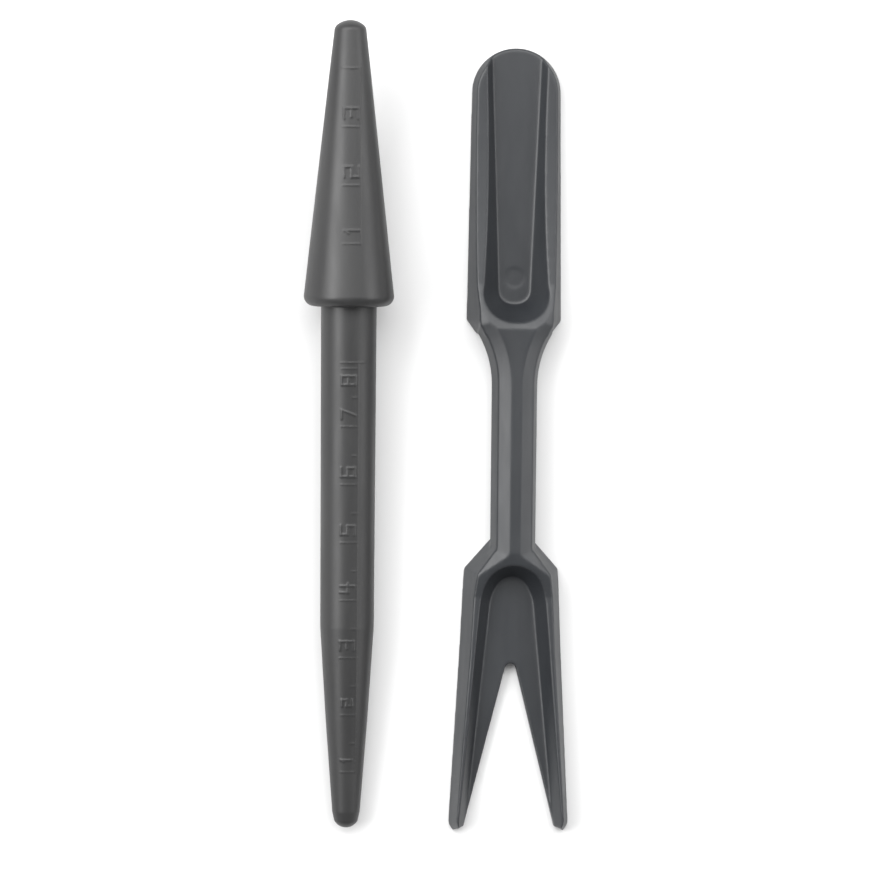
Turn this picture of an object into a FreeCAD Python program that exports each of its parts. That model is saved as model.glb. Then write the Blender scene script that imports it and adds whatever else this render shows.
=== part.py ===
# Seedling dibber and widger set: two loose hand tools lying side by side.
# Millimetres.  +Z up, both tools along Y, origin on the ground under the middle of the set.
# widger       one moulding: open scoop (+Y end), ridge handle, V-notched fork (-Y end)
# dibber_rod   hollow graduated rod with a closed, rounded point
# dibber_cone  hollow graduated cone handle pressed on the open end of the rod
import FreeCAD, Part
import math
import os
import Sketcher

V = FreeCAD.Vector
os.makedirs("parts", exist_ok=True)
doc = FreeCAD.newDocument("dibber_widger_set")
sheet = doc.addObject("Spreadsheet::Sheet", "sheet")
P = {}


def cell(alias, value):
    """One driving dimension: a plain number in the sheet with a name."""
    row = len(P) + 1
    value = round(float(value), 4)
    sheet.set("A%d" % row, alias)
    sheet.set("B%d" % row, repr(value))
    sheet.setAlias("B%d" % row, alias)
    P[alias] = value
    return value


def val(c):
    if isinstance(c, str):
        return -P[c[1:]] if c[0] == "-" else P[c]
    return float(c)


def expr(c):
    return "-sheet." + c[1:] if c[0] == "-" else "sheet." + c


# ---------------------------------------------------------------- sheet: widger
cell("widger_x", 16.95)           # centre line of the widger
cell("widger_y", 0.56)
cell("top_height", 8.9)           # handle ridge
cell("wall_height", 7.5)          # top of the handle's drafted side wall
cell("part_height", 3.7)          # parting line of the handle, where it is widest
cell("under_inset", 0.8)          # handle sides draw in below the parting line
cell("wall_inset", 1.15)          # and above it
cell("bevel_inset", 2.8)          # width of the bevel beside the top flat
cell("edge_height", 0.8)          # outer edge of both heads
cell("slope_height", 7.5)         # level to which the outer walls of the heads slope
cell("slope_inset", 2.35)         # how far they slope in on the way
cell("ridge_inset", 2.2)          # handle section carried on inside the heads, up to the parting line
cell("ridge_inset_top", 2.4)      # and at the top of its wall
cell("tip_radius", 9.87)
cell("tip_centre_y", 73.75)
cell("scoop_half", 10.5)          # half width at the handle end of the scoop
cell("neck_radius", 21.8)
cell("neck_y", 9.1)              # where the neck arc meets the handle
cell("grip_half_a", 5.1)          # handle half width, scoop end
cell("grip_half_b", 5.05)         # handle half width, fork end
cell("shoulder_y", -25.2)
cell("shoulder_end_y", -31.45)
cell("fork_half_a", 10.62)
cell("fork_half_b", 11.28)
cell("fork_b_y", -49.6)
cell("fork_half_c", 13.3)
cell("fork_c_y", -87.5)
cell("fork_end_y", -89.6)
cell("scoop_floor", 1.4)
cell("fork_floor", 2.4)

neck_cx = P["grip_half_a"] + P["neck_radius"]


def neck_top(x, d):
    """Height along Y where the neck arc, moved in by d, reaches the line X = x."""
    r = P["neck_radius"] + d
    return P["neck_y"] + math.sqrt(r * r - (neck_cx - x) ** 2)


# shoulder line of the fork: unit direction and inward normal
sx, sy = P["fork_half_a"] - 0.2 - P["grip_half_b"], P["shoulder_end_y"] - P["shoulder_y"]
sl = math.hypot(sx, sy)
nx, ny = sy / sl, -sx / sl
shoulder_c = nx * P["grip_half_b"] + ny * P["shoulder_y"]


def shoulder_at(x, d):
    return (shoulder_c + d - nx * x) / ny


def ridge(tag, d, k):
    """Outline of the ridge, in by d along handle and neck and by k in the heads, as cells.
    Returns the right-hand vertices and the arc radii."""
    bx = P["scoop_half"] - k
    cell(tag + "_ax", P["tip_radius"] - k)
    cell(tag + "_ay", P["tip_centre_y"])
    cell(tag + "_bx", bx)
    cell(tag + "_by", neck_top(bx, d))
    cell(tag + "_cx", P["grip_half_a"] - d)
    cell(tag + "_cy", P["neck_y"])
    cell(tag + "_dx", P["grip_half_b"] - d)
    cell(tag + "_dy", shoulder_at(P["grip_half_b"] - d, k))
    ex = P["fork_half_a"] - k
    cell(tag + "_ex", ex)
    cell(tag + "_ey", shoulder_at(ex, k))
    cell(tag + "_fx", P["fork_half_b"] - k)
    cell(tag + "_fy", P["fork_b_y"])
    cell(tag + "_gx", P["fork_half_c"] - k)
    cell(tag + "_gy", -89.3 + 0.35 * k)
    cell(tag + "_rt", P["tip_radius"] - k)
    cell(tag + "_rn", P["neck_radius"] + d)
    right = [(tag + "_" + n + "x", tag + "_" + n + "y") for n in "abcdefg"]
    return right, tag + "_rt", tag + "_rn"


def mirrored(right):
    return [("-" + x if isinstance(x, str) else -x, y) for x, y in reversed(right)]


# ---------------------------------------------------------------- sketch helper
def plane(body, role):
    for f in body.Origin.OriginFeatures:
        if f.Role == role:
            return f
    raise RuntimeError(role)


def sketch(body, name, role, verts, arcs=None, offset=None):
    """Closed outline.  verts: (x, y), numbers or cell names.  arcs: {edge: (radius cell, side)},
    side +1 bulges to the right of the direction of travel, -1 to the left."""
    arcs = arcs or {}
    sk = body.newObject("Sketcher::SketchObject", name)
    sk.AttachmentSupport = (plane(body, role), [""])
    sk.MapMode = "FlatFace"
    if offset is not None:
        sk.AttachmentOffset = offset
    n = len(verts)
    pts = [V(val(x), val(y), 0) for x, y in verts]
    ends = []
    for i in range(n):
        p, q = pts[i], pts[(i + 1) % n]
        if i in arcs:
            rad, side = arcs[i][:2]
            r = val(rad)
            dv = q - p
            h = math.sqrt(max(r * r - dv.Length ** 2 / 4.0, 0.0))
            right_n = V(dv.y, -dv.x, 0)
            right_n.normalize()
            c = (p + q) * 0.5 - right_n * (h * side)
            a0 = math.atan2(p.y - c.y, p.x - c.x)
            a1 = math.atan2(q.y - c.y, q.x - c.x)
            circ = Part.Circle(c, V(0, 0, 1), r)
            if side > 0:                       # centre on the left: counter-clockwise
                if a1 <= a0:
                    a1 += 2 * math.pi
                g = sk.addGeometry(Part.ArcOfCircle(circ, a0, a1), False)
                ends.append((g, 1, 2))
            else:
                if a0 <= a1:
                    a0 += 2 * math.pi
                g = sk.addGeometry(Part.ArcOfCircle(circ, a1, a0), False)
                ends.append((g, 2, 1))
        else:
            g = sk.addGeometry(Part.LineSegment(p, q), False)
            ends.append((g, 1, 2))
    for i in range(n):
        g, s, e = ends[i]
        g2, s2, e2 = ends[(i + 1) % n]
        sk.addConstraint(Sketcher.Constraint("Coincident", g, e, g2, s2))
    for i, (x, y) in enumerate(verts):
        g, s, e = ends[i]
        for kind, c, tag, axis in (("DistanceX", x, "px", -2), ("DistanceY", y, "py", -1)):
            if val(c) == 0.0:
                sk.addConstraint(Sketcher.Constraint("PointOnObject", g, s, axis))
                continue
            k = sk.addConstraint(Sketcher.Constraint(kind, -1, 1, g, s, val(c)))
            sk.renameConstraint(k, "%s%d" % (tag, i))
            if isinstance(c, str):
                sk.setExpression("Constraints.%s%d" % (tag, i), expr(c))
    for i, arc in arcs.items():
        rad = arc[0]
        if arc[2:] == ("on_axis",):            # dome: its centre is held on the axis of revolution
            sk.addConstraint(Sketcher.Constraint("PointOnObject", ends[i][0], 3, -2))
            continue
        if len(arc) == 3:                      # half circle: its centre is held, not its radius
            k = sk.addConstraint(Sketcher.Constraint("DistanceY", -1, 1, ends[i][0], 3, val(arc[2])))
            sk.renameConstraint(k, "cen%d" % i)
            sk.setExpression("Constraints.cen%d" % i, expr(arc[2]))
            continue
        k = sk.addConstraint(Sketcher.Constraint("Radius", ends[i][0], val(rad)))
        sk.renameConstraint(k, "rad%d" % i)
        if isinstance(rad, str):
            sk.setExpression("Constraints.rad%d" % i, expr(rad))
    sk.Visibility = False
    bad = sk.solve()
    if bad:
        raise RuntimeError("sketch %s does not solve: %s" % (name, bad))
    return sk


def level(z, tilt=0.0):
    return FreeCAD.Placement(V(0, 0, z), FreeCAD.Rotation(V(1, 0, 0), tilt))


def feature(body, kind, name, **props):
    f = body.newObject("PartDesign::" + kind, name)
    for k, v in props.items():
        setattr(f, k, v)
    return f


# ================================================================ widger
widger = doc.addObject("PartDesign::Body", "widger")
widger.Label = "widger"

def ridge_sketch(name, tag, d, k, z):
    right, rt, rn = ridge(tag, d, k)
    loop = right + mirrored(right)
    n = len(loop)
    return sketch(widger, name, "XY_Plane", loop,
                  {1: (rn, 1), n - 3: (rn, 1), n - 1: (rt, -1, "tip_centre_y")}, level(z))


# ridge: out to the parting line, in along the side walls, then bevels up to the narrow top flat
s1 = ridge_sketch("ridge_foot", "rga", P["under_inset"], P["ridge_inset"], 0.0)
s1b = ridge_sketch("ridge_parting", "rgp", 0.0, P["ridge_inset"] + 0.01, P["part_height"])
s2 = ridge_sketch("ridge_wall_top", "rgb", P["wall_inset"], P["ridge_inset_top"], P["wall_height"])
s2b = ridge_sketch("ridge_top", "rgc", P["wall_inset"] + P["bevel_inset"],
                   P["ridge_inset_top"] + P["bevel_inset"], P["top_height"])
pad0 = feature(widger, "AdditiveLoft", "ridge_underside", Profile=s1, Sections=[s1b], Ruled=True)
pad1 = feature(widger, "AdditiveLoft", "ridge_walls", Profile=s1b, Sections=[s2], Ruled=True)
pad2 = feature(widger, "AdditiveLoft", "ridge_bevels", Profile=s2, Sections=[s2b], Ruled=True)
doc.recompute()

# outer wall of the scoop: from the low outer edge, sloping up and in
cell("sf_tip_y", P["tip_centre_y"])
cell("sf_a", P["tip_radius"])
cell("sf_b", P["scoop_half"])
cell("sf_by", neck_top(P["scoop_half"], 0.0))
cell("sf_c", P["rgp_bx"])
cell("sf_cy", P["rgp_by"])
low = [("sf_a", "sf_tip_y"), ("sf_b", "sf_by"), ("sf_c", "sf_cy"), (5.0, 19.4)]
loop = low + mirrored(low)
s3 = sketch(widger, "scoop_edge", "XY_Plane", loop, {7: ("sf_a", -1, "sf_tip_y")})
pad3 = feature(widger, "Pad", "scoop_rim_edge", Profile=s3)
pad3.setExpression("Length", "sheet.edge_height")
cell("sg_a", P["sf_a"] - P["slope_inset"])
cell("sg_b", P["sf_b"] - P["slope_inset"])
cell("sg_by", P["sf_by"] - 0.35)
cell("sg_c", P["sf_c"] - 1.4)
cell("sg_cy", P["sf_cy"] - 0.6)
s4 = sketch(widger, "scoop_slope_foot", "XY_Plane", loop, {7: ("sf_a", -1, "sf_tip_y")}, level(P["edge_height"]))
up = [("sg_a", "sf_tip_y"), ("sg_b", "sg_by"), ("sg_c", "sg_cy"), (4.4, 19.7)]
s5 = sketch(widger, "scoop_slope_top", "XY_Plane", up + mirrored(up), {7: ("sg_a", -1, "sf_tip_y")},
            level(P["slope_height"]))
loft1 = feature(widger, "AdditiveLoft", "scoop_outer_wall", Profile=s4, Sections=[s5], Ruled=True)

# outer wall of the fork
fork_low = [(4.7, -25.0), (P["fork_half_a"] - 0.2, "shoulder_end_y"), ("fork_half_a", -34.0),
            ("fork_half_b", "fork_b_y"), ("fork_half_c", "fork_c_y"), (13.1, -88.3), (12.2, "fork_end_y"),
            (11.3, -88.9), (10.0, -88.6)]
loop = fork_low + mirrored(fork_low)
s6 = sketch(widger, "fork_edge", "XY_Plane", loop)
pad4 = feature(widger, "Pad", "fork_rim_edge", Profile=s6)
pad4.setExpression("Length", "sheet.edge_height")
s7 = sketch(widger, "fork_slope_foot", "XY_Plane", loop, None, level(P["edge_height"]))
k = P["slope_inset"]
cell("fg_half_b", P["fork_half_b"] - k)
cell("fg_half_c", P["fork_half_c"] - 0.8 * k)
up = [(4.35, -27.6), (P["fork_half_a"] - 0.2 - k, -32.6), (P["fork_half_a"] - k, -34.5), ("fg_half_b", "fork_b_y"),
      ("fg_half_c", -86.9), (11.3, -87.6), (11.0, -88.5), (10.6, -88.45), (10.1, -88.4)]
s8 = sketch(widger, "fork_slope_top", "XY_Plane", up + mirrored(up), None, level(P["slope_height"]))
loft2 = feature(widger, "AdditiveLoft", "fork_outer_wall", Profile=s7, Sections=[s8], Ruled=True)
doc.recompute()

# falling tops of both heads, cut from the side: down from the handle, then nearly level
cell("fall_a_y", 21.6)
cell("fall_b_y", 31.0)
cell("fall_b_z", 5.75)
cell("fall_end_y", 86.0)
cell("fall_end_z", 3.75)
cell("fall_radius", 400.0)
s9 = sketch(widger, "scoop_fall", "YZ_Plane",
            [("fall_a_y", "top_height"), ("fall_b_y", "fall_b_z"), ("fall_end_y", "fall_end_z"),
             ("fall_end_y", 12.0), ("fall_a_y", 12.0)], {1: ("fall_radius", 1)})
cut1 = feature(widger, "Pocket", "scoop_rim_fall", Profile=s9, Type="ThroughAll", Midplane=True)
cell("drop_a_y", -28.0)
cell("drop_b_y", -37.5)
cell("drop_b_z", 6.7)
cell("drop_end_y", -92.0)
cell("drop_end_z", 5.9)
s9b = sketch(widger, "fork_fall", "YZ_Plane",
             [("drop_a_y", "top_height"), ("drop_a_y", 12.0), ("drop_end_y", 12.0), ("drop_end_y", "drop_end_z"),
              ("drop_b_y", "drop_b_z")])
cut1b = feature(widger, "Pocket", "fork_rim_fall", Profile=s9b, Type="ThroughAll", Midplane=True)
doc.recompute()

# trough of the scoop: ruled walls from a narrow floor to a wide mouth, open through the tip
cell("trough_end_low", 26.95)
cell("trough_end_high", 22.5)
cell("floor_half_deep", 3.45)
cell("floor_half_tip", 5.8)
cell("mouth_half_deep", 10.2)
cell("mouth_half_tip", 10.45)
cell("floor_corner", 3.1)
cell("mouth_corner", 9.6)
floor = [("floor_half_tip", 90.0), ("floor_half_deep", P["trough_end_low"] + P["floor_corner"]),
         (P["floor_half_deep"] - P["floor_corner"], "trough_end_low")]
mouth = [("mouth_half_tip", 90.0), ("mouth_half_deep", P["trough_end_high"] + P["mouth_corner"]),
         (P["mouth_half_deep"] - P["mouth_corner"], "trough_end_high")]
s10 = sketch(widger, "scoop_floor_outline", "XY_Plane", floor + mirrored(floor),
             {1: ("floor_corner", -1), 3: ("floor_corner", -1)}, level(P["scoop_floor"]))
s11 = sketch(widger, "scoop_mouth_outline", "XY_Plane", mouth + mirrored(mouth),
             {1: ("mouth_corner", -1), 3: ("mouth_corner", -1)}, level(P["top_height"] + 0.2))
cut2 = feature(widger, "SubtractiveLoft", "scoop_trough", Profile=s10, Sections=[s11], Ruled=True)


def arch(tag, top, ra, turn, rb, end_turn, far_y, grow):
    """Half arch: two arcs from the crown, then a straight side.  Returns vertices and radii."""
    x1, y1 = ra * math.cos(turn), top - ra + ra * math.sin(turn)
    cx, cy = x1 - rb * math.cos(turn), y1 - rb * math.sin(turn)
    x2, y2 = cx + rb * math.cos(end_turn), cy + rb * math.sin(end_turn)
    for nm, v in (("_top", top), ("_xa", x1), ("_ya", y1), ("_xb", x2), ("_yb", y2),
                  ("_xc", x2 + grow * (y2 - far_y)), ("_yc", far_y), ("_ra", ra), ("_rb", rb)):
        cell(tag + nm, v)
    vs = [(0.0, tag + "_top"), (tag + "_xa", tag + "_ya"), (tag + "_xb", tag + "_yb"), (tag + "_xc", tag + "_yc")]
    loop = vs + mirrored(vs[1:])
    return loop, {0: (tag + "_ra", -1), 1: (tag + "_rb", -1), 5: (tag + "_rb", -1), 6: (tag + "_ra", -1)}


# recess of the fork: the same idea with an arched end, running out along both tines
deg = math.radians
loop, arcs = arch("fl", -33.3, 3.9, deg(36), 9.5, deg(5.7), -91.0, 0.1)
s12 = sketch(widger, "fork_floor_outline", "XY_Plane", loop, arcs, level(P["fork_floor"]))
loop, arcs = arch("fm", -30.2, 8.2, deg(34), 12.4, deg(2.2), -91.0, 0.09)
s13 = sketch(widger, "fork_mouth_outline", "XY_Plane", loop, arcs, level(P["top_height"] + 0.2))
cut3 = feature(widger, "SubtractiveLoft", "fork_recess", Profile=s12, Sections=[s13], Ruled=True)

# V notch with a rounded throat
cell("notch_throat_r", 1.28)
cell("notch_throat_x", 1.24)
cell("notch_throat_y", -53.47)
cell("notch_mouth_x", 10.97)
cell("notch_mouth_y", -92.0)
cell("notch_crown_y", -52.5)
nv = [("notch_throat_x", "notch_throat_y"), ("notch_mouth_x", "notch_mouth_y")]
s14 = sketch(widger, "notch_outline", "XY_Plane", nv + mirrored(nv), {3: ("notch_throat_r", -1)})
cut4 = feature(widger, "Pocket", "v_notch", Profile=s14, Type="ThroughAll", Midplane=True)

# round ejector mark in the scoop floor
cell("ejector_r", 2.25)
cell("ejector_y", 32.9)
cell("ejector_deep", 0.08)
s16 = widger.newObject("Sketcher::SketchObject", "ejector_outline")
s16.AttachmentSupport = (plane(widger, "XY_Plane"), [""])
s16.MapMode = "FlatFace"
s16.AttachmentOffset = level(P["scoop_floor"] - P["ejector_deep"])
s16.addGeometry(Part.Circle(V(0, P["ejector_y"], 0), V(0, 0, 1), P["ejector_r"]), False)
s16.addConstraint(Sketcher.Constraint("PointOnObject", 0, 3, -2))
s16.addConstraint(Sketcher.Constraint("DistanceY", -1, 1, 0, 3, P["ejector_y"]))
s16.addConstraint(Sketcher.Constraint("Radius", 0, P["ejector_r"]))
s16.setExpression("Constraints[1]", "sheet.ejector_y")
s16.setExpression("Constraints[2]", "sheet.ejector_r")
s16.Visibility = False
cut6 = feature(widger, "Pocket", "ejector_mark", Profile=s16)
cut6.setExpression("Length", "4 * sheet.ejector_deep")
cut6.Reversed = True
doc.recompute()
assert 0.5 < cut4.Shape.Volume - cut6.Shape.Volume < 4.0, "ejector mark is not cut"

# hollows under the handle, with cross ribs left between them
cell("core_half", 2.4)
cell("core_depth", 5.4)
cell("core_length", 9.4)
cell("core_pitch", 11.0)
cell("core_first_y", -22.6)
cv = [("core_half", P["core_first_y"] + P["core_length"]), ("core_half", "core_first_y")]
s15 = sketch(widger, "core_outline", "XY_Plane", cv + mirrored(cv))
cut5 = feature(widger, "Pocket", "handle_core", Profile=s15)
cut5.setExpression("Length", "sheet.core_depth")
cut5.Reversed = True
doc.recompute()
before = cut6.Shape.Volume
assert cut5.Shape.Volume < before - 50, "handle core cuts nothing"
row = widger.newObject("PartDesign::LinearPattern", "handle_cores")
row.Originals = [cut5]
row.Direction = (plane(widger, "Y_Axis"), [""])
row.Occurrences = 4
row.setExpression("Length", "3 * sheet.core_pitch")
widger.Tip = row
doc.recompute()
widger.setExpression("Placement.Base.x", "sheet.widger_x")
widger.setExpression("Placement.Base.y", "sheet.widger_y")

# ================================================================ dibber
# Axial positions are measured along the dibber from its point; the scale counts from there too.
cell("dibber_x", -20.15)           # half way along the dibber
cell("dibber_yaw", 0.56)
cell("dibber_point_y", -88.22)
cell("point_radius", 2.95)
cell("taper_small_a", 3.6)
cell("taper_small_r", 3.04)
cell("taper_large_a", 44.5)
cell("taper_large_r", 5.9)
cell("taper_mid_a", 24.0)
cell("taper_mid_r", 4.6)
cell("point_side_a", 1.5)
cell("point_side_r", math.sqrt(P["point_radius"] ** 2 - (P["point_radius"] - P["point_side_a"]) ** 2))
cell("rod_r", 6.1)
cell("cone_base_a", 115.0)
cell("rod_end_a", 132.0)
cell("rod_wall", 1.8)
cell("cone_wide_a", 117.2)
cell("cone_wide_r", 9.9)
cell("cone_rim_r", 7.7)
cell("cone_rim_round", 2.2)
cell("cone_neck_a", 175.1)
cell("cone_neck_r", 3.55)
cell("crown_corner", 1.75)
cell("crown_a", 175.1 + 1.75 * math.sin(math.radians(50)))
cell("crown_r", 3.55 - 1.75 + 1.75 * math.cos(math.radians(50)))
cell("crown_bow", P["crown_r"] / math.cos(math.radians(50)))
cell("cone_end_a", P["crown_a"] + P["crown_bow"] * (1 - math.sin(math.radians(50))))
cell("bore_r", 6.08)
cell("cone_step_r", 4.7)
cell("cone_core_a", 169.0)
cell("cone_core_r", 1.9)
cell("mark_relief", 0.24)
cell("mark_stroke", 0.48)
cell("line_stroke", 0.34)
cell("half_inch", 12.7)

# rod: half section (radius, axial position) turned about its own axis
rod_blank = doc.addObject("PartDesign::Body", "rod_blank")
rod_blank.Label = "rod_blank"
rod_pts = [(0.0, 0.0), ("point_side_r", "point_side_a"), ("taper_small_r", "taper_small_a"),
           ("taper_mid_r", "taper_mid_a"), ("taper_large_r", "taper_large_a"),
           ("rod_r", "cone_base_a"), ("rod_r", "rod_end_a"), (P["rod_r"] - P["rod_wall"], "rod_end_a"),
           (P["taper_large_r"] - P["rod_wall"], "taper_large_a"), (1.3, 9.0), (0.0, 8.2)]
r1 = sketch(rod_blank, "rod_section", "XY_Plane", rod_pts,
            {0: ("point_radius", 1, "on_axis")})
turn1 = feature(rod_blank, "Revolution", "rod_turned", Profile=r1, ReferenceAxis=(r1, ["V_Axis"]), Angle=360.0)

# cone: outer half section, then the bore and the conical hollow
cone_blank = doc.addObject("PartDesign::Body", "cone_blank")
cone_blank.Label = "cone_blank"
cone_pts = [("cone_rim_r", "cone_base_a"), ("cone_wide_r", "cone_wide_a"), ("cone_neck_r", "cone_neck_a"),
            ("crown_r", "crown_a"), (0.0, "cone_end_a"), (0.0, P["cone_core_a"] + 0.9), ("cone_core_r", "cone_core_a"),
            ("cone_step_r", "rod_end_a"), ("bore_r", "rod_end_a"), ("bore_r", P["cone_base_a"] + 0.5),
            (P["bore_r"] + 0.5, "cone_base_a")]
r2 = sketch(cone_blank, "cone_section", "XY_Plane", cone_pts,
            {0: ("cone_rim_round", 1), 2: ("crown_corner", 1), 3: ("crown_bow", 1, "on_axis")})
turn2 = feature(cone_blank, "Revolution", "cone_turned", Profile=r2, ReferenceAxis=(r2, ["V_Axis"]), Angle=360.0)
doc.recompute()

# raised scale: strokes seen from above, lifted a little off the surface
STROKES = {"1": [((0.25, 0.75), (0.5, 1)), ((0.5, 1), (0.5, 0))],
           "2": [((0, 1), (1, 1)), ((1, 1), (1, 0.5)), ((1, 0.5), (0, 0.5)), ((0, 0.5), (0, 0)), ((0, 0), (1, 0))],
           "3": [((0, 1), (1, 1)), ((0.2, 0.5), (1, 0.5)), ((0, 0), (1, 0)), ((1, 0), (1, 1))],
           "4": [((0, 1), (0, 0.45)), ((0, 0.45), (1, 0.45)), ((0.75, 1), (0.75, 0))],
           "5": [((1, 1), (0, 1)), ((0, 1), (0, 0.5)), ((0, 0.5), (1, 0.5)), ((1, 0.5), (1, 0)), ((1, 0), (0, 0))],
           "6": [((1, 1), (0, 1)), ((0, 1), (0, 0)), ((0, 0), (1, 0)), ((1, 0), (1, 0.5)), ((1, 0.5), (0, 0.5))],
           "7": [((0, 1), (1, 1)), ((1, 1), (0.4, 0))],
           "8": [((0, 0), (1, 0)), ((1, 0), (1, 1)), ((1, 1), (0, 1)), ((0, 1), (0, 0)), ((0, 0.5), (1, 0.5))]}


def stroke(x0, y0, x1, y1, w=P["line_stroke"], deep=12.0):
    """Upright slab with round ends over the line from (x0, y0) to (x1, y1)."""
    a, b = V(x0, y0, 0), V(x1, y1, 0)
    d = b - a
    d.normalize()
    q = V(-d.y, d.x, 0) * (w / 2)
    e = d * (w / 2)
    wire = Part.Wire([Part.LineSegment(a + q, b + q).toShape(), Part.Arc(b + q, b + e, b - q).toShape(),
                      Part.LineSegment(b - q, a - q).toShape(), Part.Arc(a - q, a - e, a + q).toShape()])
    return Part.Face(wire).extrude(V(0, 0, deep))


def digit(ch, x, a, tall=2.9, wide=1.9):
    """Digit read along the tool, centred at (x, a)."""
    out = []
    for (u0, v0), (u1, v1) in STROKES[ch]:
        pts = []
        for u, v in ((u0, v0), (u1, v1)):
            pts.append((x + (0.5 - v) * tall, a + (u - 0.5) * wide))
        out.append(stroke(pts[0][0], pts[0][1], pts[1][0], pts[1][1], P["mark_stroke"]))
    return out


def fused(shapes):
    one = shapes[0].multiFuse(shapes[1:])
    return one.removeSplitter()


def trimmed(strokes, ring):
    """The strokes where they pass through the ring, as separate closed solids."""
    met = fused(strokes).common(ring)
    return Part.makeCompound([q for q in met.Solids if q.Volume > 0.01])


def revolved_skin(pts, lift, root=0.6):
    """Thin ring about Y through (radius, a) points, from inside the wall to the lifted surface."""
    outline = [V(r + lift, a, 0) for r, a in pts] + [V(r - root, a, 0) for r, a in reversed(pts)]
    wire = Part.makePolygon(outline + [outline[0]])
    return Part.Face(wire).revolve(V(0, 0, 0), V(0, 1, 0), 360)


def taper_r(a):
    """Rod radius at a: two tapers, then the long drafted barrel."""
    stops = [(P[n + "_a"], P[n + "_r"]) for n in ("taper_small", "taper_mid", "taper_large")]
    stops.append((P["cone_base_a"], P["rod_r"]))
    for (a0, r0), (a1, r1) in zip(stops, stops[1:]):
        if a <= a1:
            return r0 + (r1 - r0) * (a - a0) / (a1 - a0)
    return P["rod_r"]


hi = P["half_inch"]
shapes = []
for i in range(1, 9):
    a = hi * i
    small = 0.72 if i < 3 else 1.0
    shapes.append(stroke(-1.9 * small, a, 1.65 * small if i == 1 else 1.65, a))
    shapes += digit(str(i), -0.45 * small, a - 2.6 if i == 8 else a + 2.7, 2.9 * small, 1.9 * small)
    if i > 1:
        shapes.append(stroke(0.55, a - hi / 2, 1.65, a - hi / 2))
shapes.append(stroke(1.65, hi, 1.65, 8 * hi + 1.3))
shapes.append(stroke(-2.1, 8 * hi + 1.3, 3.1, 8 * hi + 1.3))
profile = [(taper_r(a), a) for a in [5.0, P["taper_mid_a"], P["taper_large_a"], 114.0]]
rod_marks = doc.addObject("Part::Feature", "rod_marks")
rod_marks.Shape = trimmed(shapes, revolved_skin(profile, P["mark_relief"]))

shapes = []
for i in range(1, 5):
    a = P["cone_base_a"] + 13.9 + hi * (i - 1)
    shapes.append(stroke(-2.0, a, 1.8, a))
    if i < 4:
        shapes += digit(str(i), -0.1, a + 2.9, 3.2, 2.2)
shapes.append(stroke(1.8, P["cone_base_a"] + 13.9, 1.8, P["cone_base_a"] + 13.9 + 3 * hi))
cone_marks = doc.addObject("Part::Feature", "cone_marks")
cone_marks.Shape = trimmed(shapes, revolved_skin(
    [(P["cone_wide_r"], P["cone_wide_a"]), (P["cone_neck_r"], P["cone_neck_a"])], P["mark_relief"]))

# The dibber lies on the rim of the cone and on the belly of the taper, so its axis tilts a little
# and the point stands just clear of the ground.
def axis_height(t):
    """Height of the axis at the point, for the cone rim to touch the ground at tilt t."""
    return P["cone_rim_r"] * math.cos(t) + P["cone_rim_round"] - P["cone_wide_a"] * math.sin(t)


def clearance(t):
    return min(axis_height(t) + a * math.sin(t) - taper_r(a) * math.cos(t)
               for a in [4 + 0.25 * i for i in range(400)])


lo, up_t = math.radians(1.0), math.radians(5.0)
for _ in range(50):
    mid_t = (lo + up_t) / 2
    if clearance(mid_t) > 0:
        lo = mid_t
    else:
        up_t = mid_t
cell("lie_angle", math.degrees(lo))
cell("lie_height", axis_height(lo))
yaw = math.radians(P["dibber_yaw"])
lie = FreeCAD.Placement(V(P["dibber_x"] + 88.4 * math.sin(yaw), P["dibber_point_y"], P["lie_height"]),
                        FreeCAD.Rotation(V(0, 0, 1), P["dibber_yaw"]) * FreeCAD.Rotation(V(1, 0, 0), P["lie_angle"]))

finished = [widger]
for blank, marks, label in ((rod_blank, rod_marks, "dibber_rod"), (cone_blank, cone_marks, "dibber_cone")):
    joined = doc.addObject("Part::Fuse", label + "_marked")
    joined.Base, joined.Tool = blank, marks
    doc.recompute()
    one = doc.addObject("Part::Feature", label)
    one.Shape = max(joined.Shape.Solids, key=lambda q: q.Volume)
    lost = joined.Shape.Volume - one.Shape.Volume
    if abs(lost) > 0.1:
        raise RuntimeError("%s came apart by %.3f mm3" % (label, lost))
    one.Label = label
    one.Placement = lie
    finished.append(one)
doc.recompute()

# ================================================================ checks and output
for o in doc.Objects:
    if "Invalid" in o.State or "Error" in o.State:
        raise RuntimeError("%s is %s" % (o.Name, o.State))
for o in finished:
    sh = o.Shape
    if sh.isNull() or not sh.isValid() or len(sh.Solids) != 1:
        raise RuntimeError("%s has a bad shape" % o.Label)
    bb = sh.BoundBox
    print(o.Label, "volume %.0f mm3" % sh.Volume, "box %.2f..%.2f %.2f..%.2f %.2f..%.2f" % (
        bb.XMin, bb.XMax, bb.YMin, bb.YMax, bb.ZMin, bb.ZMax))
for o in finished:
    o.Shape.exportStep("parts/%s.step" % o.Label)
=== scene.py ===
import math
import bmesh
import bpy
from mathutils import Matrix, Vector


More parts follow.
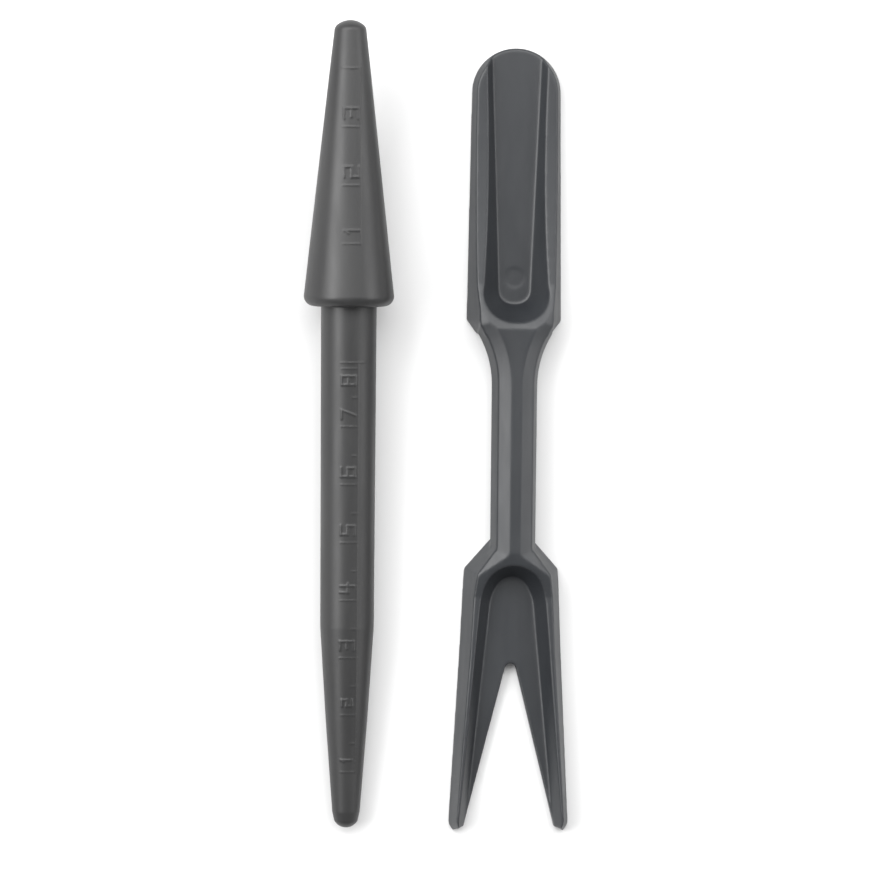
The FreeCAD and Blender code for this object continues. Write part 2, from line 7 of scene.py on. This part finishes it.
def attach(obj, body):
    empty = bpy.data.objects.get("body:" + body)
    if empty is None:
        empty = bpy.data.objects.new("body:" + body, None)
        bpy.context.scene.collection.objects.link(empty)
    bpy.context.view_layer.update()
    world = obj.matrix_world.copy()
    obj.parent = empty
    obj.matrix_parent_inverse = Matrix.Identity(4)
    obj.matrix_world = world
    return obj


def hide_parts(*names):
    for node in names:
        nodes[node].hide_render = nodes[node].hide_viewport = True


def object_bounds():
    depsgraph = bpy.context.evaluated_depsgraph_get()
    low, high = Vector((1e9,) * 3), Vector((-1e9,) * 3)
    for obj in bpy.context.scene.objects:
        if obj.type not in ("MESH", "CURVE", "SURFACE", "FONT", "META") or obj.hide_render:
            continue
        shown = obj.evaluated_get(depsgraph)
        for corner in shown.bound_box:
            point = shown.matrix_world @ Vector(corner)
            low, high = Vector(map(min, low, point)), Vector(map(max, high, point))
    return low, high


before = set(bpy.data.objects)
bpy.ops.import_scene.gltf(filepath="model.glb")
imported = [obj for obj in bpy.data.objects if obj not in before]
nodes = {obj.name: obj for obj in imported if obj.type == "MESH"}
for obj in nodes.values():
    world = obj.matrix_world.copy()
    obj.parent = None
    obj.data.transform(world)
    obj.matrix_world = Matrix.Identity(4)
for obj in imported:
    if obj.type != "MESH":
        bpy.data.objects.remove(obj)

size_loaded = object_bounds()
scene = bpy.context.scene
scene.view_settings.view_transform = "Standard"

# ------------------------------------------------------------------ camera
mid_y = 0.5 * (size_loaded[0][1] + size_loaded[1][1])
aim = Vector((-0.0007, mid_y - 0.0014, 0.004))
eye = Vector((-0.1138, mid_y + 0.0124, 1.200))
cam_data = bpy.data.cameras.new("camera")
cam = bpy.data.objects.new("camera", cam_data)
scene.collection.objects.link(cam)
scene.camera = cam
back = (eye - aim).normalized()
roll = math.radians(0.66)
up = Vector((-math.sin(roll), math.cos(roll), 0.0))
right = up.cross(back).normalized()
up = back.cross(right).normalized()
cam.matrix_world = Matrix(((right.x, up.x, back.x, eye.x), (right.y, up.y, back.y, eye.y),
                           (right.z, up.z, back.z, eye.z), (0, 0, 0, 1)))
cam_data.sensor_width = 36.0
cam_data.lens = 36.0 * (eye - aim).length / 0.1916
cam_data.clip_start = 0.02
cam_data.clip_end = 5.0


# ------------------------------------------------------------------ materials
def node(nt, kind, x=0, y=0, **inputs):
    n = nt.nodes.new(kind)
    n.location = (x, y)
    for k, v in inputs.items():
        n.inputs[k.replace("_", " ")].default_value = v
    return n


def plastic(name, dark, light, roughness, grain):
    """Dark moulded plastic: slow flow shading, slightly uneven gloss, fine spark-eroded grain."""
    m = bpy.data.materials.new(name)
    m.use_nodes = True
    nt = m.node_tree
    bsdf = nt.nodes["Principled BSDF"]
    bsdf.inputs["IOR"].default_value = 1.5
    coord = node(nt, "ShaderNodeTexCoord", -1200)

    stretch = node(nt, "ShaderNodeMapping", -1000, 200)
    stretch.inputs["Scale"].default_value = (1.0, 0.22, 1.0)
    nt.links.new(coord.outputs["Object"], stretch.inputs["Vector"])
    flow = node(nt, "ShaderNodeTexNoise", -800, 260, Scale=95.0, Detail=4.0, Roughness=0.55)
    nt.links.new(stretch.outputs["Vector"], flow.inputs["Vector"])
    ramp = node(nt, "ShaderNodeValToRGB", -560, 260)
    ramp.color_ramp.elements[0].position = 0.34
    ramp.color_ramp.elements[0].color = (*dark, 1)
    ramp.color_ramp.elements[1].position = 0.68
    ramp.color_ramp.elements[1].color = (*light, 1)
    nt.links.new(flow.outputs["Fac"], ramp.inputs["Fac"])
    nt.links.new(ramp.outputs["Color"], bsdf.inputs["Base Color"])

    smear = node(nt, "ShaderNodeTexNoise", -800, -20, Scale=260.0, Detail=3.0, Roughness=0.6)
    nt.links.new(stretch.outputs["Vector"], smear.inputs["Vector"])
    rough = node(nt, "ShaderNodeMapRange", -560, -20)
    rough.inputs["From Min"].default_value = 0.3
    rough.inputs["From Max"].default_value = 0.7
    rough.inputs["To Min"].default_value = roughness - 0.05
    rough.inputs["To Max"].default_value = roughness + 0.06
    nt.links.new(smear.outputs["Fac"], rough.inputs["Value"])
    nt.links.new(rough.outputs["Result"], bsdf.inputs["Roughness"])

    fine = node(nt, "ShaderNodeTexNoise", -800, -300, Scale=2600.0, Detail=2.0, Roughness=0.5)
    nt.links.new(coord.outputs["Object"], fine.inputs["Vector"])
    wave = node(nt, "ShaderNodeTexNoise", -800, -520, Scale=150.0, Detail=1.0, Roughness=0.5)
    nt.links.new(stretch.outputs["Vector"], wave.inputs["Vector"])
    bump_a = node(nt, "ShaderNodeBump", -420, -300, Strength=0.25, Distance=grain)
    nt.links.new(fine.outputs["Fac"], bump_a.inputs["Height"])
    bump_b = node(nt, "ShaderNodeBump", -220, -300, Strength=0.35, Distance=0.00018)
    nt.links.new(wave.outputs["Fac"], bump_b.inputs["Height"])
    nt.links.new(bump_a.outputs["Normal"], bump_b.inputs["Normal"])
    nt.links.new(bump_b.outputs["Normal"], bsdf.inputs["Normal"])
    return m


dibber_mat = plastic("dibber_plastic", (0.0135, 0.0135, 0.0140), (0.0200, 0.0200, 0.0202), 0.45, 0.00002)
widger_mat = plastic("widger_plastic", (0.0125, 0.0140, 0.0165), (0.0185, 0.0205, 0.0235), 0.42, 0.00002)


def dress(obj, mat):
    if not obj.data.materials:
        obj.data.materials.append(mat)
    for i in range(len(obj.data.materials)):
        obj.data.materials[i] = mat


dress(nodes["dibber_rod"], dibber_mat)
dress(nodes["dibber_cone"], dibber_mat)
dress(nodes["widger"], widger_mat)


# ------------------------------------------------------------------ soft edges of a moulding
def moulded(name, me, voxel, rounds, factor):
    ob = bpy.data.objects.new(name, me)
    scene.collection.objects.link(ob)
    bpy.context.view_layer.objects.active = ob
    rm = ob.modifiers.new("remesh", "REMESH")
    rm.mode = "VOXEL"
    rm.voxel_size = voxel
    rm.use_smooth_shade = True
    sm = ob.modifiers.new("smooth", "SMOOTH")
    sm.factor = factor
    sm.iterations = rounds
    deps = bpy.context.evaluated_depsgraph_get()
    done = bpy.data.meshes.new_from_object(ob.evaluated_get(deps))
    done.name = name
    ob.modifiers.clear()
    old = ob.data
    ob.data = done
    bpy.data.meshes.remove(old)
    return ob


widger = moulded("widger_moulding", nodes["widger"].data.copy(), 0.00026, 10, 0.5)
dress(widger, widger_mat)
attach(widger, "widger")
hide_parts("widger")

# ------------------------------------------------------------------ dibber: turned skins with a raised scale (mm)
DIBBER_X, DIBBER_YAW, POINT_Y = -20.15, math.radians(0.56), -88.22
TAPER = [(3.04, 3.6), (4.6, 24.0), (5.9, 44.5), (6.1, 115.0), (6.1, 132.0)]
RIM_R, RIM_ROUND, WIDE_R, WIDE_A = 7.7, 2.2, 9.9, 117.2
NECK_R, NECK_A, CORNER = 3.55, 175.1, 1.75
HALF_INCH = 12.7


def along(profile, a):
    for (r0, a0), (r1, a1) in zip(profile, profile[1:]):
        if a <= a1:
            return r0 + (r1 - r0) * (a - a0) / (a1 - a0)
    return profile[-1][0]


def arc(cx, cy, r, deg0, deg1, n):
    return [(cx + r * math.cos(math.radians(deg0 + (deg1 - deg0) * i / n)),
             cy + r * math.sin(math.radians(deg0 + (deg1 - deg0) * i / n))) for i in range(n + 1)]


def axis_height(t):
    return RIM_R * math.cos(t) + RIM_ROUND - WIDE_A * math.sin(t)


def clearance(t):
    return min(axis_height(t) + a * math.sin(t) - along(TAPER, a) * math.cos(t)
               for a in [4 + 0.25 * i for i in range(400)])


low, high = math.radians(1.0), math.radians(5.0)
for _ in range(50):
    mid = (low + high) / 2
    if clearance(mid) > 0:
        low = mid
    else:
        high = mid
lie = (Matrix.Translation(Vector((DIBBER_X + 88.4 * math.sin(DIBBER_YAW), POINT_Y, axis_height(low))) * 0.001)
       @ Matrix.Rotation(DIBBER_YAW, 4, "Z") @ Matrix.Rotation(low, 4, "X") @ Matrix.Scale(0.001, 4))


def turned(verts, faces, profile, steps=288):
    """Closed skin of revolution about Y; both ends of the profile lie on the axis or meet each other."""
    rings = []
    for r, a in profile:
        if r < 1e-6:
            verts.append((0.0, a, 0.0))
            rings.append([len(verts) - 1] * steps)
        else:
            first = len(verts)
            for i in range(steps):
                t = 2 * math.pi * i / steps
                verts.append((r * math.sin(t), a, r * math.cos(t)))
            rings.append(list(range(first, first + steps)))
    pairs = list(zip(rings, rings[1:]))
    if profile[0][0] > 1e-6:
        pairs.append((rings[-1], rings[0]))
    for p, q in pairs:
        for i in range(steps):
            j = (i + 1) % steps
            loop = []
            for v in (p[i], p[j], q[j], q[i]):
                if v not in loop:
                    loop.append(v)
            if len(loop) > 2:
                faces.append(loop)


def raised(verts, faces, profile, x0, a0, x1, a1, width, height):
    """One stroke of the scale: a low rounded bead that follows the skin and is rooted inside it."""
    dx, da = x1 - x0, a1 - a0
    length = math.hypot(dx, da)
    dx, da = dx / length, da / length
    n = max(2, int(length / 0.25))
    section = [(-0.5, -0.45), (-0.5, 0.0), (-0.3, 0.8 * height), (0.0, height), (0.3, 0.8 * height), (0.5, 0.0), (0.5, -0.45)]
    rings = []
    for k in range(n + 1):
        at = -0.5 * width + (length + width) * k / n
        first = len(verts)
        for u, h in section:
            x = x0 + dx * at - da * u * width
            a = a0 + da * at + dx * u * width
            r = along(profile, a)
            t = math.asin(max(-0.99, min(0.99, x / r)))
            verts.append(((r + h) * math.sin(t), a, (r + h) * math.cos(t)))
        rings.append(list(range(first, first + len(section))))
    m = len(section)
    for p, q in zip(rings, rings[1:]):
        for i in range(m):
            j = (i + 1) % m
            faces.append([p[i], p[j], q[j], q[i]])
    faces.append(list(reversed(rings[0])))
    faces.append(list(rings[-1]))


STROKES = {"1": [((0.25, 0.75), (0.5, 1)), ((0.5, 1), (0.5, 0))],
           "2": [((0, 1), (1, 1)), ((1, 1), (1, 0.5)), ((1, 0.5), (0, 0.5)), ((0, 0.5), (0, 0)), ((0, 0), (1, 0))],
           "3": [((0, 1), (1, 1)), ((0.2, 0.5), (1, 0.5)), ((0, 0), (1, 0)), ((1, 0), (1, 1))],
           "4": [((0, 1), (0, 0.45)), ((0, 0.45), (1, 0.45)), ((0.75, 1), (0.75, 0))],
           "5": [((1, 1), (0, 1)), ((0, 1), (0, 0.5)), ((0, 0.5), (1, 0.5)), ((1, 0.5), (1, 0)), ((1, 0), (0, 0))],
           "6": [((1, 1), (0, 1)), ((0, 1), (0, 0)), ((0, 0), (1, 0)), ((1, 0), (1, 0.5)), ((1, 0.5), (0, 0.5))],
           "7": [((0, 1), (1, 1)), ((1, 1), (0.4, 0))],
           "8": [((0, 0), (1, 0)), ((1, 0), (1, 1)), ((1, 1), (0, 1)), ((0, 1), (0, 0)), ((0, 0.5), (1, 0.5))]}


def digit(ch, x, a, tall, wide):
    for (u0, v0), (u1, v1) in STROKES[ch]:
        yield (x + (0.5 - v0) * tall, a + (u0 - 0.5) * wide, x + (0.5 - v1) * tall, a + (u1 - 0.5) * wide)


def dibber_piece(name, skin, outer, thin, bold, node):
    verts, faces = [], []
    turned(verts, faces, skin)
    for line in thin:
        raised(verts, faces, outer, *line, 0.30, 0.08)
    for line in bold:
        raised(verts, faces, outer, *line, 0.44, 0.14)
    me = bpy.data.meshes.new(name)
    me.from_pydata([lie @ Vector(v) for v in verts], [], faces)
    bm = bmesh.new()
    bm.from_mesh(me)
    bmesh.ops.recalc_face_normals(bm, faces=bm.faces)
    bm.to_mesh(me)
    bm.free()
    ob = moulded(name, me, 0.00016, 3, 0.5)
    dress(ob, dibber_mat)
    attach(ob, "dibber")
    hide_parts(node)


thin, bold = [], []
for i in range(1, 9):
    a = HALF_INCH * i
    small = 0.72 if i < 3 else 1.0
    thin.append((-1.9 * small, a, 1.65 * small if i == 1 else 1.65, a))
    bold += list(digit(str(i), -0.45 * small, a - 2.6 if i == 8 else a + 2.7, 2.9 * small, 1.9 * small))
    if i > 1:
        thin.append((0.55, a - HALF_INCH / 2, 1.65, a - HALF_INCH / 2))
thin.append((1.65, HALF_INCH, 1.65, 8 * HALF_INCH + 1.3))
thin.append((-2.1, 8 * HALF_INCH + 1.3, 3.1, 8 * HALF_INCH + 1.3))
rod_skin = (arc(0.0, 2.95, 2.95, -90, math.degrees(math.asin((1.5 - 2.95) / 2.95)), 14) + TAPER
            + [(4.3, 132.0), (4.1, 44.5), (1.3, 9.0), (0.0, 8.2)])
rod_skin[0] = (0.0, 0.0)
dibber_piece("dibber_rod_skin", rod_skin, TAPER, thin, bold, "dibber_rod")

thin, bold = [], []
first = 115.0 + 13.9
for i in range(1, 5):
    a = first + HALF_INCH * (i - 1)
    thin.append((-2.0, a, 1.8, a))
    if i < 4:
        bold += list(digit(str(i), -0.1, a + 2.9, 3.2, 2.2))
thin.append((1.8, first, 1.8, first + 3 * HALF_INCH))
crown_r = NECK_R - CORNER + CORNER * math.cos(math.radians(50))
crown_a = NECK_A + CORNER * math.sin(math.radians(50))
bow = crown_r / math.cos(math.radians(50))
cone_skin = (arc(RIM_R, WIDE_A, RIM_ROUND, -90, 0, 12) + arc(NECK_R - CORNER, NECK_A, CORNER, 0, 50, 8)
             + arc(0.0, crown_a - bow * math.sin(math.radians(50)), bow, 50, 90, 10)[1:]
             + [(0.0, 169.9), (1.9, 169.0), (4.7, 132.0), (6.08, 132.0), (6.08, 115.5), (6.58, 115.0)])
cone_skin = [(0.0 if r < 1e-6 else r, a) for r, a in cone_skin]
dibber_piece("dibber_cone_skin", cone_skin, [(WIDE_R, WIDE_A), (NECK_R, NECK_A)], thin, bold, "dibber_cone")

# ------------------------------------------------------------------ floor
floor_me = bpy.data.meshes.new("floor")
s = 3.0
floor_me.from_pydata([(-s, -s, 0), (s, -s, 0), (s, s, 0), (-s, s, 0)], [], [(0, 1, 2, 3)])
floor = bpy.data.objects.new("floor", floor_me)
scene.collection.objects.link(floor)
floor.location.z = size_loaded[0][2] - 0.00002
fm = bpy.data.materials.new("floor_white")
fm.use_nodes = True
fb = fm.node_tree.nodes["Principled BSDF"]
fb.inputs["Base Color"].default_value = (0.68, 0.68, 0.68, 1)
fb.inputs["Roughness"].default_value = 0.9
fb.inputs["Specular IOR Level"].default_value = 0.1
floor_me.materials.append(fm)

# ------------------------------------------------------------------ light
world = bpy.data.worlds.new("studio")
scene.world = world
world.use_nodes = True
bg = world.node_tree.nodes["Background"]
bg.inputs["Color"].default_value = (1.0, 1.0, 1.0, 1)
bg.inputs["Strength"].default_value = 0.42


def softbox(name, at, to, size_x, size_y, watts):
    ld = bpy.data.lights.new(name, "AREA")
    ld.shape = "RECTANGLE"
    ld.size, ld.size_y = size_x, size_y
    ld.energy = watts
    ob = bpy.data.objects.new(name, ld)
    scene.collection.objects.link(ob)
    ob.location = at
    ob.rotation_euler = (Vector(to) - Vector(at)).to_track_quat("-Z", "Y").to_euler()
    return ob


softbox("left_box", (-0.75, 0.25, 0.70), (0, 0, 0), 1.2, 0.60, 16.0)
softbox("right_box", (0.80, 0.25, 0.60), (0, 0, 0), 1.2, 0.50, 7.0)
softbox("far_box", (0.0, 0.66, 1.05), (0, 0, 0), 1.2, 0.80, 14.0)
